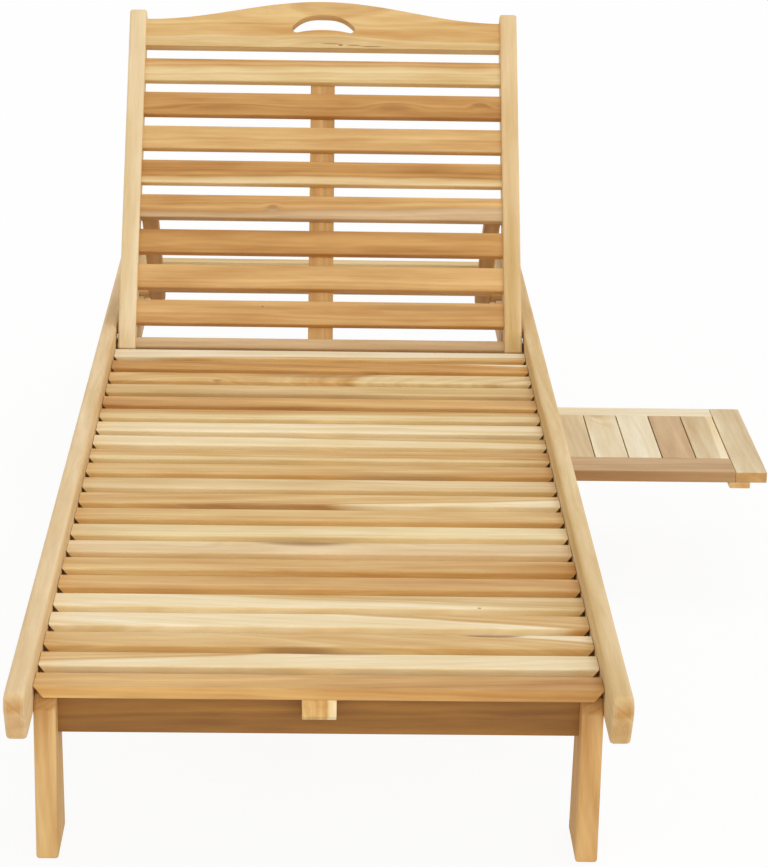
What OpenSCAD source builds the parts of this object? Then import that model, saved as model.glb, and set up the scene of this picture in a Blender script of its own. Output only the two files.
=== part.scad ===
// Slatted wooden sun lounger with a tilting backrest, a folding prop behind it and a
// small tray table that slides out from under the seat on the right.
// +Z is up and +Y runs from the foot end to the head end. Y values named below start
// at the rounded noses of the side rails, and X values start at the lounger's middle.

/* [Overall] */
// Width over the two side rails
frame_w = 650; // [620:1:700]
// Length of the side rails, nose to tail
frame_l = 1975; // [1960:1:2040]
// Height of the side rails' top edge above the ground
rail_top = 228; // [215:1:260]

/* [Side rails] */
// Thickness of a side rail
rail_t = 22; // [20:0.5:24]
// Depth of a side rail
rail_h = 60; // [54:1:64]
// Radius of the upper round of a nose
nose_top_r = 15; // [10:1:20]
// Radius of the lower round of a nose
nose_low_r = 10; // [6:1:16]
// How far the lower round stands back behind the upper one
nose_slope = 18; // [10:1:30]

/* [Seat] */
// Width of a seat slat
slat_w = 39; // [34:0.5:42]
// Thickness of a slat
slat_t = 14; // [12:0.5:16]
// How far the ends of a seat slat are cut back at its underside
slat_undercut = 11; // [4:1:14]
// Distance from slat to slat
slat_pitch = 58; // [54:0.5:58]
// Distance of the first slat behind the noses
seat_start = 85; // [80:1:95]
// Drop from the top of the rails to the top of the slats
seat_drop = 26; // [24:0.5:30]
// Depth of the bearers and cross rails below the slats
bearer_h = 48; // [44:1:52]
// Thickness of the bearers and cross rails
bearer_t = 22; // [18:0.5:24]
// Width of the batten under the middle of the seat
batten_w = 37; // [30:1:45]
// Depth of that batten
batten_h = 26; // [24:1:30]

/* [Legs] */
// Thickness of a leg
leg_t = 24; // [20:0.5:26]
// Width of a leg where it meets the slats
leg_top_w = 60; // [50:1:66]
// Width of a leg at the ground
leg_foot_w = 86; // [70:1:96]
// Bevel on the upper outer corner of a leg
leg_bevel = 14; // [8:1:18]
// Distance from the noses to the straight edge of the rear legs
rear_leg_back = 1560; // [1545:1:1575]

/* [Backrest] */
// Angle of the backrest above flat, as shown
back_angle = 51.5; // [48:0.5:52]
// Gap between a stile and the side rail
stile_gap = 3; // [2:0.5:4]
// Width of a stile, seen from the front
stile_w = 26; // [22:0.5:28]
// Depth of a stile, front to back
stile_d = 40; // [38:1:42]
// Length of a stile above the hinge
stile_l = 544; // [520:1:552]
// Distance from the noses to the hinge
hinge_y = 1375.5; // [1372:0.5:1380]
// Width of a backrest slat
back_slat_w = 38.5; // [34:0.5:40]
// Distance between backrest slats
back_pitch = 57.7; // [56:0.1:58]
// Height of the top slat's upper edge above the hinge, along the stile
back_slat_top = 461; // [455:1:465]
// Step from the face of the stiles back to the slats
slat_inset = 5; // [4:0.5:5]
// Thickness of the crest rail
crest_t = 16; // [14:0.5:20]
// Lower edge of the crest rail above the hinge, along the stile
crest_low = 482; // [478:1:486]
// Depth of the crest rail at its ends
crest_end_h = 46; // [42:1:50]
// Rise of the crest rail's curve towards the middle
crest_rise = 34; // [28:1:40]
// Width of the hand hole
hand_w = 97; // [85:1:105]
// Height of the hand hole in its middle
hand_h = 25.5; // [24:0.5:29]

/* [Prop] */
// Distance from the hinge to the prop's pivot, along the stile
prop_pivot = 205; // [203:0.5:206]
// Length of a prop arm between its pivot and its foot pin
arm_l = 252; // [251:0.5:253]
// Width of a prop arm, seen from the side
arm_w = 20; // [18:0.5:20]
// Thickness of a prop arm
arm_t = 24; // [20:0.5:25]
// Diameter of the foot pins
bar_d = 15; // [14:0.5:16]
// Distance from the prop's pivot to the board across its arms
prop_board_at = 165; // [120:1:175]

/* [Tray table] */
// Distance from the noses to the table's near edge
table_y = 908; // [905:1:925]
// Size of the table along the lounger
table_w = 281; // [270:1:281]
// Reach of the table beyond the side rail when pulled out
table_reach = 277; // [260:1:290]
// Thickness of the table top
table_t = 15; // [13:0.5:15]
// Width of the end boards
end_board_w = 42; // [36:1:48]
// Width of the table's near rail
near_rail_w = 58; // [45:1:65]
// Width of the table's far rail
far_rail_w = 36; // [30:1:50]
// Distance between the table's planks
plank_pitch = 46; // [42:0.5:47]
// Open joint between the planks
plank_gap = 1.5; // [1:0.5:4]

/* [Hidden] */

seat_slats = 22;
back_slats = 8;
light_wood = "burlywood";
mid_wood = "tan";
metal = "silver";

// Rounding of the long edges
slat_r = 2.5;
cross_r = 1.5;
rail_r = 4;
board_r = 3;

// Clearances
slat_end_gap = 0.5;
hinge_clear = 1;
pin_clear = 0.06;
side_clear = 0.3;
table_clear = 0.5;

// Heights and widths of the frame
rail_in = frame_w / 2 - rail_t;
bearer_in = rail_in - bearer_t;
leg_in = rail_in - leg_t;
slat_top = rail_top - seat_drop;
bearer_top = slat_top - slat_t;
bearer_low = bearer_top - bearer_h;
leg_slant = (leg_foot_w - leg_top_w) / bearer_top;
bearer_start = seat_start + leg_top_w + leg_slant * bearer_h;
bearer_end = rear_leg_back - leg_top_w - leg_slant * bearer_h;
rack_end = frame_l - 15;
cross_setback = 21;
cross_front_y = seat_start + cross_setback;
cross_rear_y = seat_start + slat_pitch * (seat_slats - 1) + (slat_w - bearer_t) / 2;
head_rail_t = 26;
head_rail_back = 29.5;
head_rail_y = rack_end - head_rail_back - head_rail_t;

// Hinge and prop, seen from the right side
stile_out = rail_in - stile_gap;
stile_in = stile_out - stile_w;
stile_toe = 22;
hinge_z = bearer_top + stile_d / 2 + hinge_clear;
pivot_drop = 10;
pivot_y = hinge_y + prop_pivot * cos(back_angle) + pivot_drop * sin(back_angle);
pivot_z = hinge_z + prop_pivot * sin(back_angle) - pivot_drop * cos(back_angle);
tooth_drop = 5.8;
tooth_z = bearer_top - tooth_drop;
bar_lift = 0.5;
bar_z = tooth_z + bar_lift + bar_d / 2;
prop_angle = asin((pivot_z - bar_z) / arm_l);
bar_y = pivot_y + arm_l * cos(prop_angle);
arm_out = stile_in - 2;
bar_end = rail_in - 6;

// Tray table and its guides
table_top = rail_top - rail_h - table_clear;
table_low = table_top - table_t;
table_out = frame_w / 2 + table_reach;
planks = 8;
table_in = table_out - 2 * end_board_w - planks * plank_pitch;
guide_bite = 9;
guide_t = bearer_t;
lip_gap = 10;
batten_t = 8;
stop_w = 28;
grip_inset = 22;
relief = 4;
relief_top = table_top + table_clear + relief;

// Shift that puts the origin under the middle of the whole lounger
home_x = (frame_w / 2 - table_out) / 2;
home_y = -frame_l / 2;

$fn = 48;

function slat_name(i) = str("seat_slat_", i < 9 ? "0" : "", i + 1);
function back_name(i) = str("back_slat_", i + 1);

// Layout helpers
module at_home() {
    translate([home_x, home_y, 0]) children();
}

module on_backrest() {
    at_home() translate([0, hinge_y, hinge_z]) rotate([back_angle, 0, 0]) children();
}

module on_prop() {
    at_home() translate([0, pivot_y, pivot_z]) rotate([-prop_angle, 0, 0]) children();
}

module mirrored(side) {
    mirror([side < 0 ? 1 : 0, 0, 0]) children();
}

// A board with eased edges: its convex outline lies in Y and Z, its thickness in X
module eased_board(t, r) {
    rotate([90, 0, 90]) hull() {
        translate([0, 0, r]) linear_extrude(t - 2 * r) children();
        translate([0, 0, 0.3 * r]) linear_extrude(t - 0.6 * r) offset(delta = -0.3 * r) children();
        linear_extrude(t) offset(delta = -r) children();
    }
}

// A bar along X with eased long edges, centred in Y and standing on Z = 0
module slat_bar(l, w, t, r) {
    rotate([90, 0, 90]) linear_extrude(l, center = true)
        translate([0, t / 2]) offset(r = r, $fn = 16) square([w - 2 * r, t - 2 * r], center = true);
}

// A square-cut bar between two faces in X
module cross_bar(half_l, y, w, z, h, r) {
    translate([0, y + w / 2, z]) slat_bar(2 * half_l, w, h, r);
}

module x_pin(x, y, z, l, r) {
    translate([x, y, z]) rotate([0, 90, 0]) cylinder(h = l, r = r, $fn = 32);
}

// A bolt with a low round head, its shank pointing along +X from under the head
module bolt(head_r, head_h, shank_r, shank_l) {
    rotate([0, 90, 0]) {
        translate([0, 0, -head_h]) cylinder(h = head_h, r1 = head_r - 1, r2 = head_r, $fn = 32);
        cylinder(h = shank_l, r = shank_r, $fn = 32);
    }
}

// Side rails with rounded noses and a bore for the backrest hinge
hinge_pin_r = 4;
hinge_head_r = 8;
hinge_head_h = 4;
hinge_spacer_r = 6.5;
sink_h = 5;
sink_clear = 0.5;

module rail_outline() {
    hull() {
        translate([nose_top_r, rail_top - nose_top_r]) circle(nose_top_r);
        translate([nose_slope + nose_low_r, rail_top - rail_h + nose_low_r]) circle(nose_low_r);
        translate([frame_l - nose_top_r, rail_top - nose_top_r]) circle(nose_top_r);
        translate([frame_l - nose_slope - nose_low_r, rail_top - rail_h + nose_low_r]) circle(nose_low_r);
    }
}

module side_rail(side) {
    color(light_wood) at_home() mirrored(side) difference() {
        translate([rail_in, 0, 0]) eased_board(rail_t, rail_r) rail_outline();
        x_pin(rail_in - 1, hinge_y, hinge_z, rail_t + 2, hinge_pin_r + pin_clear);
        x_pin(frame_w / 2 - sink_h, hinge_y, hinge_z, sink_h + 1, hinge_head_r + sink_clear);
        for (y = leg_bolt_ys) {
            x_pin(rail_in - 1, y, leg_bolt_z, rail_t + 2, leg_pin_r + pin_clear);
            x_pin(frame_w / 2 - sink_h, y, leg_bolt_z, sink_h + 1, leg_head_r + sink_clear);
        }
    }
}

// Seat slats rest on the legs and bearers, their ends sawn slanting to the underside
module seat_slat(i) {
    y = seat_start + i * slat_pitch;
    half = rail_in - slat_end_gap;
    color(light_wood) at_home() intersection() {
        cross_bar(half, y, slat_w, bearer_top, slat_t, slat_r);
        translate([0, y + slat_w + 1, bearer_top]) rotate([90, 0, 0]) linear_extrude(slat_w + 2)
            polygon([[slat_undercut - half, 0], [half - slat_undercut, 0], [half, slat_t], [-half, slat_t]]);
    }
}

// Legs: straight on the outer edge, slanting on the inner one
leg_pin_r = 3;
leg_pin_bite = 18;
leg_head_r = 6;
leg_head_h = 3.5;
leg_corner_r = 3;
leg_bolt_z = rail_top - rail_h + 12;
leg_bolt_ys = [seat_start + 52, rear_leg_back - 45, rear_leg_back - 18];

module leg_outline() {
    offset(r = leg_corner_r) offset(delta = -leg_corner_r)
        polygon([[0, 0], [leg_foot_w, 0], [leg_top_w, bearer_top], [leg_bevel, bearer_top],
            [0, bearer_top - leg_bevel]]);
}

module leg(side, rear) {
    color(mid_wood) at_home() mirrored(side) difference() {
        translate([leg_in, rear ? rear_leg_back : seat_start, 0])
            mirror([0, rear ? 1 : 0, 0]) eased_board(leg_t, board_r) leg_outline();
        for (y = leg_bolt_ys)
            x_pin(rail_in - leg_pin_bite - pin_clear, y, leg_bolt_z,
                leg_pin_bite + 1, leg_pin_r + pin_clear);
    }
}

// Bearers carry the seat slats, and the right one has a slot for the table
slot_end_gap = 4;
slot_gap = 2;

module bearer(side) {
    color(mid_wood) at_home() mirrored(side) difference() {
        translate([bearer_in, bearer_start, bearer_low])
            cube([bearer_t, bearer_end - bearer_start, bearer_h]);
        if (side > 0)
            translate([bearer_in - 1, table_y - slot_end_gap, table_low - slot_gap])
                cube([bearer_t + 2, table_w + 2 * slot_end_gap, table_t + 2 * slot_gap]);
    }
}

// Racks continue the bearers behind the rear legs. The foot pins' path is cut into
// their upper edge, with a round notch for each position and a deep one for flat.
notches = 3;
notch_step = 36;
notch_r = bar_d / 2 + 0.8;
notch_drop = 6;
cut_lean = 3;
teeth_l = 44;
ramp_l = 60;
ramp_drop = 3.6;
pocket_ramp = 20;
pocket_drop = 10.5;
pocket_end = 9;
flat_reach = hinge_y + prop_pivot + arm_l;

module rack_cut() {
    start = bar_y - notch_r;
    ramp_end = bar_y + teeth_l + ramp_l;
    end = flat_reach + pocket_end;
    polygon([[start - cut_lean, bearer_top + 1], [start, bar_z], [start + cut_lean, tooth_z],
        [bar_y + teeth_l, tooth_z], [ramp_end, tooth_z - ramp_drop],
        [ramp_end + pocket_ramp, tooth_z - pocket_drop], [end, tooth_z - pocket_drop],
        [end + 2 * cut_lean, bearer_top + 1]]);
    for (k = [0:notches - 1])
        translate([bar_y + k * notch_step, bar_z - notch_drop]) circle(notch_r, $fn = 32);
}

module rack(side) {
    color(mid_wood) at_home() mirrored(side) translate([bearer_in, 0, 0])
        rotate([90, 0, 90]) linear_extrude(bearer_t) difference() {
            translate([rear_leg_back, bearer_low]) square([rack_end - rear_leg_back, bearer_h]);
            rack_cut();
        }
}

// Batten under the middle of the seat, thinner where the table slides beneath it
batten_setback = 3;
batten_bevel = 6;

module batten_outline() {
    front = seat_start + batten_setback;
    low = bearer_top - batten_h;
    difference() {
        polygon([[front, bearer_top], [front, low + batten_bevel], [front + batten_bevel, low],
            [cross_rear_y + bearer_t, low], [cross_rear_y + bearer_t, bearer_top]]);
        translate([table_y - guide_t, bearer_top - batten_h - 1])
            square([table_w + 2 * guide_t, relief_top - bearer_top + batten_h + 1]);
    }
}

module seat_batten() {
    color(light_wood) at_home() translate([-batten_w / 2, 0, 0])
        rotate([90, 0, 90]) linear_extrude(batten_w) batten_outline();
}

// Cross rails under the seat are housed for the batten
housing_clear = 0.2;

module notched_rail(half_l, y, notch_z) {
    difference() {
        cross_bar(half_l, y, bearer_t, bearer_low, bearer_h, cross_r);
        translate([-batten_w / 2 - housing_clear, y - 1, notch_z])
            cube([batten_w + 2 * housing_clear, bearer_t + 2, bearer_h]);
    }
}

module front_cross_rail() {
    color(mid_wood) at_home() notched_rail(leg_in, cross_front_y, bearer_top - batten_h);
}

module rear_cross_rail() {
    color(mid_wood) at_home() notched_rail(bearer_in, cross_rear_y, bearer_top - batten_h);
}

module head_rail() {
    color(light_wood) at_home()
        cross_bar(bearer_in, head_rail_y, head_rail_t, bearer_low, bearer_h, cross_r);
}

// Guides hold the long edges of the table in grooves
module table_guide(y, groove_y) {
    color(mid_wood) at_home() difference() {
        notched_rail(bearer_in, y, relief_top);
        translate([-bearer_in - 1, groove_y, table_low - side_clear])
            cube([2 * bearer_in + 2, guide_bite + side_clear, table_t + 2 * side_clear]);
    }
}

module table_guide_front() {
    table_guide(table_y + guide_bite - guide_t, table_y - side_clear);
}

module table_guide_rear() {
    table_guide(table_y + table_w - guide_bite, table_y + table_w - guide_bite);
}

// Bolts of the frame: one at each side of the hinge, three at each side for the legs
module frame_bolts() {
    color(metal) at_home() for (side = [-1, 1]) mirrored(side) {
        translate([frame_w / 2 - sink_h, hinge_y, hinge_z]) mirror([1, 0, 0])
            bolt(hinge_head_r, hinge_head_h, hinge_pin_r, rail_t - sink_h + stile_gap + stile_bite);
        x_pin(stile_out + side_clear, hinge_y, hinge_z, stile_gap - side_clear, hinge_spacer_r);
        for (y = leg_bolt_ys) translate([frame_w / 2 - sink_h, y, leg_bolt_z]) mirror([1, 0, 0])
            bolt(leg_head_r, leg_head_h, leg_pin_r, rail_t - sink_h + leg_pin_bite);
    }
}

// Backrest: Y runs up the stile from the hinge and Z points out of the front face
stile_bite = 18;
stile_end_r = 6;
toe_r = 3;

module stile(side) {
    color(light_wood) on_backrest() mirrored(side) difference() {
        translate([stile_in, 0, 0]) eased_board(stile_w, board_r) hull() {
            circle(stile_d / 2);
            translate([-stile_toe, stile_d / 2 - toe_r]) circle(toe_r, $fn = 24);
            for (z = [-1, 1]) translate([stile_l - stile_end_r, z * (stile_d / 2 - stile_end_r)])
                circle(stile_end_r, $fn = 24);
        }
        x_pin(stile_out - stile_bite - 2, 0, 0, stile_bite + 3, hinge_pin_r + pin_clear);
        x_pin(stile_in - 1, prop_pivot, -pivot_drop, stile_bite + 2, prop_pin_r + pin_clear);
    }
}

crest_steps = 30;
crest_proud = 1;

module crest_outline() {
    half = stile_in;
    polygon(concat([[-half, crest_low], [half, crest_low]],
        [for (x = [half:-half / crest_steps:-half])
            [x, crest_low + crest_end_h + crest_rise * (1 + cos(180 * x / half)) / 2]]));
}

// Hand hole: a crescent with round tips
hand_low = crest_low + 31;
hand_tip_r = 7;
hand_steps = 12;
hand_low_sag = 5;

module hand_hole() {
    half = hand_w / 2 - hand_tip_r;
    tip_z = hand_low + hand_tip_r - hand_low_sag;
    top_sag = hand_low + hand_h - hand_tip_r - tip_z;
    offset(r = hand_tip_r) polygon(concat(
        [for (x = [-half:half / hand_steps:half]) [x, tip_z + hand_low_sag * (1 - pow(x / half, 2))]],
        [for (x = [half:-half / hand_steps:-half]) [x, tip_z + top_sag * (1 - pow(abs(x / half), 3))]]));
}

module crest_rail() {
    color(light_wood) on_backrest() translate([0, 0, stile_d / 2 - slat_inset + crest_proud - crest_t])
        linear_extrude(crest_t) difference() {
            crest_outline();
            hand_hole();
        }
}

module back_slat(i) {
    color(mid_wood) on_backrest() cross_bar(stile_in, back_slat_top - i * back_pitch - back_slat_w,
        back_slat_w, stile_d / 2 - slat_inset - slat_t, slat_t, slat_r);
}

// Rail that joins the stiles just below the hinge
foot_rail_w = 17;
foot_rail_t = 22;
foot_rail_drop = 2;

module back_foot_rail() {
    color(mid_wood) on_backrest()
        cross_bar(stile_in, -foot_rail_drop - foot_rail_w, foot_rail_w,
            -foot_rail_t / 2, foot_rail_t, board_r);
}

back_batten_t = 14;
back_batten_lap = 12;

module back_batten() {
    length = back_slat_top - back_slat_w + back_batten_lap + foot_rail_drop;
    color(light_wood) on_backrest()
        translate([-batten_w / 2, -foot_rail_drop, stile_d / 2 - slat_inset - slat_t - back_batten_t])
            cube([batten_w, length, back_batten_t]);
}

// Bolts on which the prop turns, with a spacer between arm and stile
prop_pin_r = 3;
prop_head_r = 7;
prop_head_h = 3.5;
prop_spacer_r = 8;

module prop_bolts() {
    color(metal) on_backrest() for (side = [-1, 1]) mirrored(side)
        translate([0, prop_pivot, -pivot_drop]) {
            translate([arm_out - arm_t - side_clear, 0, 0])
                bolt(prop_head_r, prop_head_h, prop_pin_r,
                    stile_in + stile_bite - arm_out + arm_t + side_clear);
            x_pin(arm_out + side_clear, 0, 0, stile_in - arm_out - side_clear, prop_spacer_r);
        }
}

// Prop: Y runs from the pivot down the arm to the foot pin
arm_r = 2;

module prop_arm(side) {
    color(mid_wood) on_prop() mirrored(side) difference() {
        translate([arm_out - arm_t, 0, 0]) eased_board(arm_t, arm_r) hull() {
            circle(arm_w / 2);
            translate([arm_l, 0]) circle(arm_w / 2);
        }
        x_pin(arm_out - arm_t - 1, 0, 0, arm_t + 2, prop_pin_r + pin_clear);
        x_pin(arm_out - arm_t - 1, arm_l, 0, arm_t + 2, bar_d / 2 + pin_clear);
    }
}

// Dowels through the ends of the arms, which rest in the racks' notches
module prop_foot_pins() {
    color(mid_wood) on_prop() for (side = [-1, 1]) mirrored(side)
        x_pin(arm_out - arm_t, arm_l, 0, bar_end - arm_out + arm_t, bar_d / 2);
}

// Board across the undersides of the arms
module prop_board() {
    color(mid_wood) on_prop()
        cross_bar(arm_out, prop_board_at, slat_w, -arm_w / 2 - slat_t, slat_t, slat_r);
}

// Tray table
module table_frame() {
    color(light_wood) at_home() translate([0, table_y, table_low]) {
        translate([table_out - end_board_w, 0, 0]) cube([end_board_w, table_w, table_t]);
        translate([table_in, 0, 0]) cube([end_board_w, table_w, table_t]);
        translate([table_in, 0, 0]) cube([table_out - table_in, near_rail_w, table_t]);
        translate([table_in, table_w - far_rail_w, 0]) cube([table_out - table_in, far_rail_w, table_t]);
    }
}

module table_planks() {
    color(mid_wood) at_home() for (k = [0:planks - 1])
        translate([table_in + end_board_w + k * plank_pitch, table_y + near_rail_w, table_low])
            cube([plank_pitch - plank_gap, table_w - near_rail_w - far_rail_w, table_t]);
}

// Battens below the table: a grip under the outer end and a stop inside the bearer
module table_battens() {
    color(light_wood) at_home() {
        translate([table_out - grip_inset - stop_w, table_y, table_low - batten_t])
            cube([stop_w, table_w, batten_t]);
        translate([bearer_in - side_clear - stop_w, table_y + lip_gap, table_low - batten_t])
            cube([stop_w, table_w - 2 * lip_gap, batten_t]);
    }
}

side_rail(-1);  // side_rail_left
side_rail(1);  // side_rail_right
for (i = [0:seat_slats - 1])
    seat_slat(i);
bearer(-1);  // bearer_left
bearer(1);  // bearer_right
rack(-1);  // rack_left
rack(1);  // rack_right
seat_batten();
leg(-1, false);  // front_leg_left
leg(1, false);  // front_leg_right
leg(-1, true);  // rear_leg_left
leg(1, true);  // rear_leg_right
front_cross_rail();
rear_cross_rail();
head_rail();
table_guide_front();
table_guide_rear();
frame_bolts();
stile(-1);  // stile_left
stile(1);  // stile_right
crest_rail();
for (i = [0:back_slats - 1])
    back_slat(i);
back_foot_rail();
back_batten();
prop_bolts();
prop_arm(-1);  // prop_arm_left
prop_arm(1);  // prop_arm_right
prop_foot_pins();
prop_board();
table_frame();
table_planks();
table_battens();
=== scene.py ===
import math

import bmesh
import bpy
from mathutils import Matrix, Vector


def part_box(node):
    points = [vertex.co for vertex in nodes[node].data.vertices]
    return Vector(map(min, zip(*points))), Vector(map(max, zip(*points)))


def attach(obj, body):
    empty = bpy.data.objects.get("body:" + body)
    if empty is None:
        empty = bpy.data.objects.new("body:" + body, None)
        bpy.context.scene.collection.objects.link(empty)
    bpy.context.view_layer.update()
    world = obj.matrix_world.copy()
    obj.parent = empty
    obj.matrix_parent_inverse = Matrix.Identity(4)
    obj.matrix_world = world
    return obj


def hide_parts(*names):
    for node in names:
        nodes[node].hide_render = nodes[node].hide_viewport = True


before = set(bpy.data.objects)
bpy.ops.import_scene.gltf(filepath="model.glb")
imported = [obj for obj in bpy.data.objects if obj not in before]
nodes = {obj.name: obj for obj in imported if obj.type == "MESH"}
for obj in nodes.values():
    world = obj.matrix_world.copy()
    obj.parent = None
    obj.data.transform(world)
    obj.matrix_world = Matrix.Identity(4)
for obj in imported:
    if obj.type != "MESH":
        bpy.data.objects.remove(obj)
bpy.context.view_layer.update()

# Side rails
# Two long boards of plantation teak, 22 by 60 mm, with rounded noses at both ends. They are
# planed, sanded and left bare, so they keep the wood's own pale straw colour. Bolts through
# their outer faces carry the backrest.


def linear(colour):
    """An sRGB hex colour as the linear RGBA that the shaders take."""
    parts = [int(colour[i:i + 2], 16) / 255 for i in (1, 3, 5)]
    return [p / 12.92 if p <= 0.04045 else ((p + 0.055) / 1.055) ** 2.4 for p in parts] + [1.0]


def add(tree, kind, settings, links=None):
    """Adds one node. Settings are its properties or its sockets' values, links what feeds them."""
    node = tree.nodes.new("ShaderNode" + kind)
    for key, value in settings.items():
        if isinstance(key, str) and hasattr(node, key):
            setattr(node, key, value)
        else:
            node.inputs[key].default_value = value
    for key, source in (links or {}).items():
        tree.links.new(source, node.inputs[key])
    return node


# Sanded teak: heartwood runs from straw to golden brown, and the sapwood under the bark is
# cream. Each tone is the wood between two growth rings and the denser wood at a ring.
TONES = {
    "sapwood": ("#F3E1BB", "#E7CE9C"),
    "cream": ("#EFE2C4", "#E3D0A9"),
    "flaxen": ("#E8D2AA", "#D8BC8B"),
    "straw": ("#E9D2A0", "#D8B981"),
    "wheat": ("#E7CB9E", "#D4B37E"),
    "biscuit": ("#E1C594", "#CFAC70"),
    "fawn": ("#DECAA3", "#CCB083"),
    "honey": ("#DFBC80", "#CB9D5C"),
    "amber": ("#DAB375", "#C49354"),
    "tan": ("#D5A969", "#BD8B4C"),
    "dun": ("#C8A67A", "#B48D5E"),
    "brown": ("#C79552", "#A87230"),
    # Umber is dark teak made darker still. It is partly the wood's own colour and partly painted shade for
    # the front cross rail, which lies in the shade under the first slat.
    "umber_and_painted_shade": ("#9B6924", "#7E5017"),
}
# The brown of knots and streaks, also used for painted shade
KNOT_AND_SHADE_BROWN = "#8A5A2C"
SAWN_END = "#E2C08E"
EDGE_GOLD = "#FFF8E6"


def teak(piece, along, face, tone, edge=(-60, -60), heart=90, depth=25, dive=0.02, seed=1.0,
         marks=(), sap="sapwood", fade=(0, 0), sawn_end=SAWN_END, sawn_edge=EDGE_GOLD):
    """Bare sanded teak for one board. Growth rings are arcs round the heart of the tree. Sapwood
    begins at edge, given in mm from the board's middle for its two ends, and the heart lies heart
    mm to the side of it and depth mm below the face, where it dives by dive mm in each mm. Marks
    are knots, dark streaks and patches of painted shade: place, half length, half width, all in mm,
    and strength. Fade deepens the tone at the two ends, or pales it where it is below 0."""
    corners = [Vector(v.co) for v in piece.data.vertices]
    low = Vector([min(c[i] for c in corners) for i in range(3)])
    high = Vector([max(c[i] for c in corners) for i in range(3)])
    along = Vector(along).normalized()
    face = Vector(face).normalized()
    turn = Matrix((along, face.cross(along), face)).transposed().to_euler()
    length = (high - low).length * 1000

    material = bpy.data.materials.new("sanded_teak_" + piece.name)
    material.use_nodes = True
    tree = material.node_tree
    shader = tree.nodes["Principled BSDF"]
    where = add(tree, "TexCoord", {})
    # Coordinates in millimetres from the board's middle, X with the grain and Z out of its face
    board = add(tree, "Mapping", {"vector_type": "TEXTURE", "Location": (low + high) / 2,
                                  "Rotation": turn, "Scale": (0.001, 0.001, 0.001)},
                {"Vector": where.outputs["Object"]})

    # The grain wanders sideways by some 8 mm over a quarter of a metre
    wander = 17
    slow = add(tree, "Mapping", {"Location": (seed * 7.3, seed * 3.1, seed),
                                 "Scale": (1 / 260, 1 / 60, 1 / 60)},
               {"Vector": board.outputs[0]})
    sway = add(tree, "TexNoise", {"Scale": 1.0, "Detail": 2.0, "Roughness": 0.45},
               {"Vector": slow.outputs[0]})
    centred = add(tree, "VectorMath", {"operation": "SUBTRACT", 1: (0.5, 0.5, 0.5)},
                  {0: sway.outputs["Color"]})
    swayed = add(tree, "VectorMath", {"operation": "MULTIPLY_ADD", 1: (0, wander, wander)},
                 {0: centred.outputs[0], 2: board.outputs[0]})

    # Distance from the heart of the tree
    sap_at = math.hypot(heart, depth)
    slope = (edge[1] - edge[0]) / length
    pith = add(tree, "Mapping", {"Location": (0, -(sum(edge) / 2 + heart), depth),
                                 "Rotation": (0, -math.atan(dive), -math.atan(slope))},
               {"Vector": swayed.outputs[0]})
    across = add(tree, "VectorMath", {"operation": "MULTIPLY", 1: (0, 1, 1)}, {0: pith.outputs[0]})
    radius = add(tree, "VectorMath", {"operation": "LENGTH"}, {0: across.outputs[0]}).outputs["Value"]

    # Marks push the rings aside and are darker: knots and streaks, and painted shade where a mark stands in
    # for shade
    mark_mask = None
    for x, y, half_length, half_width, strength in marks:
        spot = add(tree, "Mapping", {"Location": (-x / half_length, -y / half_width, 0),
                                     "Scale": (1 / half_length, 1 / half_width, 0)},
                   {"Vector": board.outputs[0]})
        ragged = add(tree, "VectorMath", {"operation": "MULTIPLY_ADD", 1: (0.5, 0.5, 0)},
                     {0: centred.outputs[0], 2: spot.outputs[0]})
        far = add(tree, "VectorMath", {"operation": "LENGTH"}, {0: ragged.outputs[0]})
        near = add(tree, "MapRange", {"interpolation_type": "SMOOTHSTEP", "From Min": 2.2,
                                      "From Max": 0, "To Min": 0, "To Max": 1},
                   {"Value": far.outputs["Value"]})
        radius = add(tree, "Math", {"operation": "MULTIPLY_ADD", 1: half_width * 1.2},
                     {0: near.outputs[0], 2: radius}).outputs[0]
        core = add(tree, "MapRange", {"interpolation_type": "SMOOTHSTEP", "From Min": 1.05,
                                      "From Max": 0.45, "To Min": 0, "To Max": strength},
                   {"Value": far.outputs["Value"]}).outputs[0]
        if mark_mask is None:
            mark_mask = core
        else:
            mark_mask = add(tree, "Math", {"operation": "MAXIMUM"}, {0: mark_mask, 1: core}).outputs[0]

    # Uneven years 4 to 14 mm wide, and in each year the tone deepens towards its ring
    year = 6.5
    years = add(tree, "TexNoise", {"noise_dimensions": "1D", "Scale": 1 / 12, "Detail": 2.0,
                                   "Roughness": 0.6},
                {"W": radius})
    wide = add(tree, "MapRange", {"From Min": 0.3, "From Max": 0.7, "To Min": -0.05, "To Max": 0.95},
               {"Value": years.outputs["Fac"]})
    uneven = add(tree, "Math", {"operation": "MULTIPLY_ADD", 1: 14.0},
                 {0: years.outputs["Fac"], 2: radius})
    count = add(tree, "Math", {"operation": "DIVIDE", 1: year}, {0: uneven.outputs[0]})
    part = add(tree, "Math", {"operation": "FRACT"}, {0: count.outputs[0]})
    late = add(tree, "Math", {"operation": "POWER", 1: 3.0}, {0: part.outputs[0]})
    ringed = add(tree, "Math", {"operation": "MULTIPLY_ADD", 1: 0.12},
                 {0: late.outputs[0], 2: wide.outputs[0]})

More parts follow.
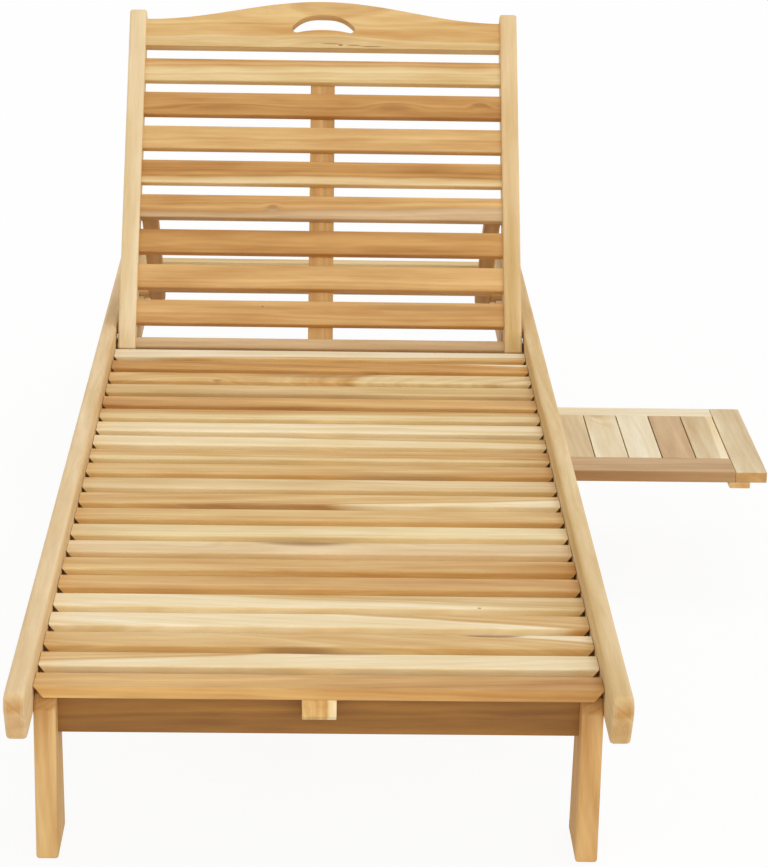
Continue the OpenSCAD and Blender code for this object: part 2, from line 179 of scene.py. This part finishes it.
    # Cloudy streaks, a hand long and a finger wide
    cloud_at = add(tree, "Mapping", {"Location": (seed * 1.7, seed * 5.3, 0),
                                     "Scale": (1 / 150, 1 / 17, 1 / 17)},
                   {"Vector": board.outputs[0]})
    cloud = add(tree, "TexNoise", {"Scale": 1.0, "Detail": 3.0, "Roughness": 0.5},
                {"Vector": cloud_at.outputs[0]})
    clouded = add(tree, "MapRange", {"From Min": 0.3, "From Max": 0.72, "To Min": -0.44, "To Max": 0.52},
                  {"Value": cloud.outputs["Fac"]}).outputs[0]
    if fade[0] or fade[1]:
        place = add(tree, "SeparateXYZ", {}, {0: board.outputs[0]})
        faded = add(tree, "MapRange", {"From Min": -length / 2, "From Max": length / 2,
                                       "To Min": fade[0], "To Max": fade[1]},
                    {"Value": place.outputs[0]})
        clouded = add(tree, "Math", {"operation": "ADD"}, {0: clouded, 1: faded.outputs[0]}).outputs[0]
    depth_of_tone = add(tree, "Math", {"operation": "ADD"}, {0: ringed.outputs[0], 1: clouded})

    # Fibres and pores are 0.3 mm wide in teak, drawn here 1.3 mm wide and 40 mm long to show
    fibre_w = 1.3
    fibre_l = 40
    fibre_at = add(tree, "Mapping", {"Location": (seed, 0, seed * 2),
                                     "Scale": (1 / fibre_l, 1 / fibre_w, 1 / fibre_w)},
                   {"Vector": swayed.outputs[0]})
    fibre = add(tree, "TexNoise", {"Scale": 1.0, "Detail": 2.0, "Roughness": 0.6},
                {"Vector": fibre_at.outputs[0]})

    heartwood, sapwood = [add(tree, "Mix", {"data_type": "RGBA", "clamp_factor": False,
                                            6: linear(TONES[name][0]), 7: linear(TONES[name][1])},
                              {0: depth_of_tone.outputs[0]}) for name in (tone, sap)]
    bark_side = add(tree, "MapRange", {"interpolation_type": "SMOOTHSTEP", "From Min": sap_at - 2,
                                       "From Max": sap_at + 2, "To Min": 0, "To Max": 1},
                    {"Value": radius})
    wood = add(tree, "Mix", {"data_type": "RGBA"},
               {0: bark_side.outputs[0], 6: heartwood.outputs[2], 7: sapwood.outputs[2]}).outputs[2]
    # Knots, streaks and painted shade are mixed into the wood here
    if mark_mask is not None:
        wood = add(tree, "Mix", {"data_type": "RGBA", 7: linear(KNOT_AND_SHADE_BROWN)},
                   {0: mark_mask, 6: wood}).outputs[2]
    fine = add(tree, "MapRange", {"From Min": 0.25, "From Max": 0.75, "To Min": 0.95, "To Max": 1.04},
               {"Value": fibre.outputs["Fac"]})
    fibred = add(tree, "VectorMath", {"operation": "SCALE"}, {0: wood, "Scale": fine.outputs[0]})

    # Sawn ends drink in the light and look browner
    endwise = add(tree, "VectorMath", {"operation": "DOT_PRODUCT", 1: along},
                  {0: where.outputs["Normal"]})
    square = add(tree, "Math", {"operation": "POWER", 1: 4.0}, {0: endwise.outputs["Value"]})
    ended = add(tree, "Mix", {"data_type": "RGBA", "blend_type": "MULTIPLY", 7: linear(sawn_end)},
                {0: square.outputs[0], 6: fibred.outputs[0]})

    # The narrow edges are cut through the layers and look more golden than the broad face
    sidewise = add(tree, "VectorMath", {"operation": "DOT_PRODUCT", 1: face.cross(along)},
                   {0: where.outputs["Normal"]})
    steep = add(tree, "Math", {"operation": "POWER", 1: 2.0}, {0: sidewise.outputs["Value"]})
    edged = add(tree, "Mix", {"data_type": "RGBA", "blend_type": "MULTIPLY", 7: linear(sawn_edge)},
                {0: steep.outputs[0], 6: ended.outputs[2]})
    tree.links.new(edged.outputs[2], shader.inputs["Base Color"])

    rough = add(tree, "MapRange", {"From Min": 0.3, "From Max": 0.7, "To Min": 0.66, "To Max": 0.54},
                {"Value": fibre.outputs["Fac"]})
    relief = add(tree, "Bump", {"Strength": 0.25, "Distance": 0.0004},
                 {"Height": fibre.outputs["Fac"]})
    tree.links.new(rough.outputs[0], shader.inputs["Roughness"])
    tree.links.new(relief.outputs[0], shader.inputs["Normal"])
    shader.inputs["IOR"].default_value = 1.5
    piece.data.materials.clear()
    piece.data.materials.append(material)


def ease(piece, radius, sharpest=35):
    """Sands the sharp edges of a board to a small round."""
    weld = piece.modifiers.new("joined", "WELD")
    weld.merge_threshold = 0.00002
    bevel = piece.modifiers.new("eased_edges", "BEVEL")
    bevel.width = radius
    bevel.segments = 3
    bevel.limit_method = "ANGLE"
    bevel.angle_limit = math.radians(sharpest)
    bevel.use_clamp_overlap = True
    soft = piece.modifiers.new("flat_faces", "WEIGHTED_NORMAL")
    soft.keep_sharp = False
    soft.weight = 60
    for polygon in piece.data.polygons:
        polygon.use_smooth = True


for name, tone, fade, seed in (("side_rail_left", "wheat", (-0.1, 0.5), 1.0),
                               ("side_rail_right", "biscuit", (0, 0.4), 5.0)):
    rail = nodes[name]
    teak(rail, (0, 1, 0), (0, 0, 1), tone, depth=30, dive=0.01, seed=seed, fade=fade,
         sawn_end="#DBBC8C", sawn_edge="#FFFFFF")
    ease(rail, 0.0012, 20)

# Seat slats
# Twenty-two slats of 39 by 14 mm lie across the bed, screwed down from below. They are sawn
# from many boards, so each shows its own mix of cream sapwood and golden heartwood.
SEAT_CUTS = [
    dict(tone="tan", depth=60, fade=(-0.5, 0.2)),
    dict(tone="honey", edge=(-8, 48), seed=7.0, marks=[(24, 19, 70, 5, 0.6)]),
    dict(tone="honey", edge=(110, 0), heart=-90, fade=(0, -0.3),
         marks=[(195, 15, 40, 5, 0.8), (-20, -21, 60, 4, 0.5)]),
    dict(tone="honey", edge=(60, -24)),
    dict(tone="biscuit", edge=(26, -20), fade=(-0.2, 0.2), marks=[(182, -17, 3, 2, 0.7)]),
    dict(tone="tan", depth=45, fade=(-0.4, 0)),
    dict(tone="honey", depth=50, fade=(-0.3, 0.8)),
    dict(tone="wheat", fade=(-0.3, 0), marks=[(-12, 24, 72, 22, 0.75)]),
    dict(tone="straw", fade=(0.1, -0.7)),
    dict(tone="honey", fade=(0.1, 0)),
    dict(tone="honey", edge=(-60, 6), fade=(0.3, -0.4), marks=[(-70, -20, 150, 4, 0.45)]),
    dict(tone="biscuit", fade=(-0.2, -0.2)),
    dict(tone="honey", fade=(-0.2, 0.4), marks=[(110, -18, 110, 5, 0.4)]),
    dict(tone="honey", edge=(-6, -14), sap="straw", fade=(-0.1, 0.5)),
    dict(tone="biscuit", edge=(14, -2), fade=(-0.1, 0.5)),
    dict(tone="straw", edge=(60, 60), marks=[(10, 13, 60, 6, 0.15), (75, 2, 60, 5, 0.12)]),
    dict(tone="amber", edge=(-5, 2), sap="straw"),
    dict(tone="tan", depth=50, fade=(0.3, -0.5), marks=[(0, -20, 300, 4, 0.2)]),
    dict(tone="biscuit", fade=(0.3, 0.2), marks=[(-70, -20, 230, 5, 0.35)]),
    dict(tone="honey", edge=(-150, 75), sap="straw",
         marks=[(0, 14, 130, 18, 0.5), (-148, -16, 9, 4, 0.5)]),
    dict(tone="brown", edge=(60, 9), heart=-90, fade=(-0.2, -0.8)),
    dict(tone="honey", edge=(-22, -2), heart=-90, sap="cream"),
]
for i, cut in enumerate(SEAT_CUTS):
    slat = nodes[f"seat_slat_{i + 1:02d}"]
    cut.setdefault("depth", 12 + 7 * (i % 4))
    cut.setdefault("seed", i * 1.37)
    teak(slat, (1, 0, 0), (0, 0, 1), dive=0.03 - 0.012 * (i % 6), sawn_end="#FFF6E4", **cut)
    ease(slat, 0.0008)

# Bearers, racks and the middle batten
# Under the slats a bearer is fixed along the inside of each rail. Behind the rear legs it goes
# on as a rack, whose notches hold the prop's foot pins. A batten stiffens the slats' middle.
for name, seed in (("bearer_left", 2.0), ("bearer_right", 3.0),
                   ("rack_left", 4.0), ("rack_right", 6.0)):
    teak(nodes[name], (0, 1, 0), (0, 0, 1), "wheat", seed=seed)
    ease(nodes[name], 0.0012)
teak(nodes["seat_batten"], (0, 1, 0), (0, 0, 1), "honey", edge=(-8, 8), seed=7.0, sawn_end="#FFF6E4")
ease(nodes["seat_batten"], 0.0012)

# Legs and cross rails
# Four legs of 24 mm board, straight outside and slanting inside, bolted to the rails. Cross
# rails between the legs and a rail at the head end keep the frame square, and two grooved
# guides across the bed carry the table.
for name, tone, seed in (("front_leg_left", "amber", 8.0), ("front_leg_right", "tan", 9.0),
                         ("rear_leg_left", "amber", 10.0), ("rear_leg_right", "tan", 11.0)):
    teak(nodes[name], (0, 0, 1), (0, -1, 0), tone, depth=30, dive=0.06, seed=seed,
         fade=(-0.5, 0.25), sawn_end="#FFFFFF", sawn_edge="#FFFFFF")
    ease(nodes[name], 0.0012, 20)
# The front cross rail is umber: dark wood plus painted shade from the first slat above it.
for name, tone, seed in (("front_cross_rail", "umber_and_painted_shade", 12.0), ("rear_cross_rail", "tan", 13.0),
                         ("head_rail", "straw", 14.0), ("table_guide_front", "tan", 15.0),
                         ("table_guide_rear", "tan", 16.0)):
    teak(nodes[name], (1, 0, 0), (0, -1, 0), tone, seed=seed)
    ease(nodes[name], 0.0012)

# Backrest
# Two stiles hinge on bolts in the side rails and hold eight slats, an arched crest rail with a
# hand hole, a foot rail and a batten behind. The slats sit between the stiles, a little behind
# their face. The backrest is shown raised by 51.5 degrees.
tilt = math.radians(51.5)
up_stile = (0, math.cos(tilt), math.sin(tilt))
out_of_face = (0, -math.sin(tilt), math.cos(tilt))
for name, tone, fade, seed in (("stile_left", "flaxen", (0, 0), 17.0),
                               ("stile_right", "wheat", (0.7, 0), 18.0)):
    teak(nodes[name], up_stile, out_of_face, tone, depth=30, dive=0.01, fade=fade, seed=seed)
    ease(nodes[name], 0.0012, 20)
BACK_CUTS = [
    dict(tone="amber", edge=(5, 6), sap="straw", fade=(0.4, 0.4)),
    dict(tone="brown", marks=[(112, -2, 30, 8, 0.3), (243, 3, 14, 6, 0.4), (-150, -6, 60, 6, 0.2)]),
    dict(tone="amber"),
    dict(tone="brown", edge=(-13, -7), sap="biscuit"),
    dict(tone="tan", fade=(0.2, -0.6), sap="dun", edge=(-8, -2), marks=[(-74, 0, 9, 5, 0.3)]),
    dict(tone="brown", depth=50, fade=(0.1, -0.2)),
    dict(tone="tan", fade=(0.1, -0.5)),
    dict(tone="tan", fade=(0.1, 0.2),
         marks=[(-87, 9, 2.5, 2, 0.8), (160, 10, 130, 6, 0.4), (-100, 7, 90, 4, 0.25)]),
]
for i, cut in enumerate(BACK_CUTS):
    slat = nodes[f"back_slat_{i + 1}"]
    cut.setdefault("depth", 14 + 6 * (i % 3))
    teak(slat, (1, 0, 0), out_of_face, dive=0.02 - 0.01 * (i % 4), seed=30 + i * 2.1, **cut)
    ease(slat, 0.0012)
teak(nodes["crest_rail"], (1, 0, 0), out_of_face, "honey", edge=(-24, -36), heart=60, depth=26, dive=0.02,
     seed=50.0, sap="biscuit", fade=(0.1, 0.4),
     marks=[(12, -28, 60, 9, 0.12), (8, 30, 90, 14, 0.1),
            (12, -33, 20, 1.5, 0.7), (27, -35, 5, 2, 0.9), (48, -35, 14, 1.3, 0.7), (75, -37, 20, 1.3, 0.8)])
ease(nodes["crest_rail"], 0.003)
teak(nodes["back_foot_rail"], (1, 0, 0), out_of_face, "dun", fade=(-0.4, -0.4), seed=51.0)
ease(nodes["back_foot_rail"], 0.001)
teak(nodes["back_batten"], up_stile, out_of_face, "tan", seed=52.0)
ease(nodes["back_batten"], 0.0015)

# Prop
# Two arms turn on bolts in the stiles. A dowel through the end of each drops into the racks'
# notches, and a board across the undersides keeps the arms parallel. At rest the arms slope
# down by 43.36 degrees.
fold = math.radians(-43.36)
down_arm = (0, math.cos(fold), math.sin(fold))
off_arm = (0, -math.sin(fold), math.cos(fold))
for name, seed in (("prop_arm_left", 53.0), ("prop_arm_right", 54.0)):
    teak(nodes[name], down_arm, off_arm, "tan", fade=(0.3, 0.3), seed=seed)
    ease(nodes[name], 0.0008, 20)
teak(nodes["prop_foot_pins"], (1, 0, 0), (0, 0, 1), "honey", seed=55.0)
ease(nodes["prop_foot_pins"], 0.001)
teak(nodes["prop_board"], (1, 0, 0), off_arm, "tan", seed=59.0)
ease(nodes["prop_board"], 0.0008)

# Tray table
# A framed tray of 15 mm teak slides in grooved guides under the seat: two end boards, two rails
# butted between them and eight planks, each with a narrow open joint on its outer side. One
# batten below is the grip at the outer end, the other a stop inside the bearer.
table_low, table_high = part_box("table_frame")
plank_low, plank_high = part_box("table_planks")
PLANK_PITCH = 0.046
PLANK_GAP = 0.0015
BUTT_GAP = 0.0003


def sawn_board(name, low, high, radius):
    """A board sawn square between two corners, its edges eased, that slides with the table."""
    mesh = bpy.data.meshes.new(name)
    shape = bmesh.new()
    bmesh.ops.create_cube(shape, size=1)
    for corner in shape.verts:
        corner.co = [low[k] + (corner.co[k] + 0.5) * (high[k] - low[k]) for k in range(3)]
    shape.to_mesh(mesh)
    shape.free()
    piece = bpy.data.objects.new(name, mesh)
    bpy.context.scene.collection.objects.link(piece)
    ease(piece, radius)
    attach(piece, "table")
    return piece


for name, x_low, x_high, seed in (("table_end_outer", plank_high[0] + PLANK_GAP, table_high[0], 60.0),
                                  ("table_end_inner", table_low[0], plank_low[0] - BUTT_GAP, 61.0)):
    end = sawn_board(name, (x_low, table_low[1], table_low[2]),
                     (x_high, table_high[1], table_high[2]), 0.0012)
    teak(end, (0, 1, 0), (0, 0, 1), "fawn", depth=60, seed=seed)
    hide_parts("table_frame")
# The near rail's long mark along its front face is painted shade in the knot brown.
for name, y_low, y_high, tone, marks, seed in (
        ("table_near_rail", table_low[1], plank_low[1] - BUTT_GAP, "dun", [(0, -31, 400, 5, 0.5)], 62.0),
        ("table_far_rail", plank_high[1] + BUTT_GAP, table_high[1], "cream", [], 63.0)):
    rail = sawn_board(name, (plank_low[0], y_low, table_low[2]),
                      (plank_high[0] + PLANK_GAP - BUTT_GAP, y_high, table_high[2]), 0.0012)
    teak(rail, (1, 0, 0), (0, 0, 1), tone, marks=marks, depth=30, seed=seed)
    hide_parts("table_frame")
PLANK_CUTS = [
    dict(tone="tan"), dict(tone="straw"), dict(tone="honey", fade=(-0.4, -0.4)),
    dict(tone="fawn", depth=60, fade=(-0.1, -0.2)),
    dict(tone="cream", depth=60, fade=(0.1, 0.8), marks=[(115, 6, 40, 17, 0.35)]),
    dict(tone="cream"),
    dict(tone="dun", depth=50, fade=(-0.3, -0.3)),
    dict(tone="fawn", edge=(-9, -20), heart=30, depth=10, dive=0.06, fade=(-0.2, 0.4)),
]
for i, cut in enumerate(PLANK_CUTS):
    x_low = plank_low[0] + i * PLANK_PITCH
    plank = sawn_board(f"table_plank_{i + 1}", (x_low, plank_low[1], plank_low[2]),
                       (x_low + PLANK_PITCH - PLANK_GAP, plank_high[1], plank_high[2]), 0.0006)
    teak(plank, (0, 1, 0), (0, 0, 1), seed=64 + i * 1.9, **cut)
    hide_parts("table_planks")
teak(nodes["table_battens"], (0, 1, 0), (0, 0, 1), "honey", seed=58.0)
ease(nodes["table_battens"], 0.001)

# Bolts
# Stainless steel, turned and left satin, so it gives a soft grey gleam: the hinge bolts, the
# leg bolts and the prop's pivots. The fine turning marks vary its gloss.
steel = bpy.data.materials.new("satin_stainless_steel")
steel.use_nodes = True
turned = add(steel.node_tree, "TexNoise", {"Scale": 900.0, "Detail": 2.0},
             {"Vector": add(steel.node_tree, "TexCoord", {}).outputs["Object"]})
sheen = add(steel.node_tree, "MapRange", {"To Min": 0.28, "To Max": 0.42},
            {"Value": turned.outputs["Fac"]})
metal = steel.node_tree.nodes["Principled BSDF"]
metal.inputs["Base Color"].default_value = linear("#C9C8C4")
metal.inputs["Metallic"].default_value = 1.0
steel.node_tree.links.new(sheen.outputs[0], metal.inputs["Roughness"])
for name in ("frame_bolts", "prop_bolts"):
    nodes[name].data.materials.clear()
    nodes[name].data.materials.append(steel)
    ease(nodes[name], 0.0004)

# Camera, floor and light
# The camera stands 2.7 m in front of the foot end, 1.4 m above the floor, and looks down at the
# lounger. A white floor and a white surround fill the picture, with soft studio light from all
# round.
CAMERA_AT = (-0.14949, -3.64646, 1.38749)
FOCAL_PIXELS = 2812.906
PHOTO_HEIGHT = 867
SENSOR = 36
yaw = math.radians(1.544)
pitch = math.radians(18.163)
roll = math.radians(1.111)
ahead = Vector((math.sin(yaw) * math.cos(pitch), math.cos(yaw) * math.cos(pitch),
                -math.sin(pitch)))
level = Vector((math.cos(yaw), -math.sin(yaw), 0))
upright = level.cross(ahead)
camera_right = math.cos(roll) * level + math.sin(roll) * upright
camera_up = -math.sin(roll) * level + math.cos(roll) * upright
camera_data = bpy.data.cameras.new("camera")
camera = bpy.data.objects.new("camera", camera_data)
bpy.context.scene.collection.objects.link(camera)
axes = Matrix((camera_right, camera_up, -ahead)).transposed()
camera.matrix_world = Matrix.Translation(CAMERA_AT) @ axes.to_4x4()
camera_data.sensor_width = SENSOR
camera_data.lens = SENSOR * FOCAL_PIXELS / PHOTO_HEIGHT
camera_data.clip_start = 0.05
camera_data.clip_end = 100
bpy.context.scene.camera = camera

FLOOR_REACH = 20
floor_corners = [(x * FLOOR_REACH, y * FLOOR_REACH, 0) for x, y in ((-1, -1), (1, -1), (1, 1), (-1, 1))]
floor_mesh = bpy.data.meshes.new("studio_floor")
floor_mesh.from_pydata(floor_corners, [], [(0, 1, 2, 3)])
floor = bpy.data.objects.new("studio_floor", floor_mesh)
bpy.context.scene.collection.objects.link(floor)
paper = bpy.data.materials.new("white_paper")
paper.use_nodes = True
paper_tree = paper.node_tree
matt = paper_tree.nodes["Principled BSDF"]
matt.inputs["Base Color"].default_value = linear("#F4F4F3")
matt.inputs["Roughness"].default_value = 0.9
seen = add(paper_tree, "LightPath", {})
glow = add(paper_tree, "Emission", {"Color": (1, 1, 1, 1), "Strength": 1.0})
share = add(paper_tree, "Math", {"operation": "MULTIPLY", 1: 0.92},
            {0: seen.outputs["Is Camera Ray"]})
blend = add(paper_tree, "MixShader", {},
            {0: share.outputs[0], 1: matt.outputs[0], 2: glow.outputs[0]})
paper_tree.links.new(blend.outputs[0], paper_tree.nodes["Material Output"].inputs["Surface"])
floor_mesh.materials.append(paper)

world = bpy.data.worlds.new("studio")
world.use_nodes = True
bpy.context.scene.world = world
sky = world.node_tree
ray = add(sky, "LightPath", {})
SKY_ON_OBJECT = 0.55
SKY_SEEN = 1.0
direct = add(sky, "Math", {"operation": "MAXIMUM"},
             {0: ray.outputs["Is Camera Ray"], 1: ray.outputs["Is Glossy Ray"]})
strength = add(sky, "MapRange", {"To Min": SKY_ON_OBJECT, "To Max": SKY_SEEN},
               {"Value": direct.outputs[0]})
sky.links.new(strength.outputs[0], sky.nodes["Background"].inputs["Strength"])
sky.nodes["Background"].inputs["Color"].default_value = (1, 1, 1, 1)

LAMP_SPREAD = 35
for name, energy, direction in (("soft_key", 0.84, (-0.25, -0.35, -0.9)),
                                ("front_key", 0.6, (0, 0.88, -0.47)),
                                ("fill_left", 0.46, (0.8, 0.6, -0.25)),
                                ("fill_right", 0.75, (-0.8, 0.6, -0.25))):
    lamp_data = bpy.data.lights.new(name, "SUN")
    lamp_data.energy = energy
    lamp_data.angle = math.radians(LAMP_SPREAD)
    lamp = bpy.data.objects.new(name, lamp_data)
    bpy.context.scene.collection.objects.link(lamp)
    lamp.rotation_euler = Vector(direction).to_track_quat("-Z", "Y").to_euler()

bpy.context.scene.view_settings.view_transform = "Standard"
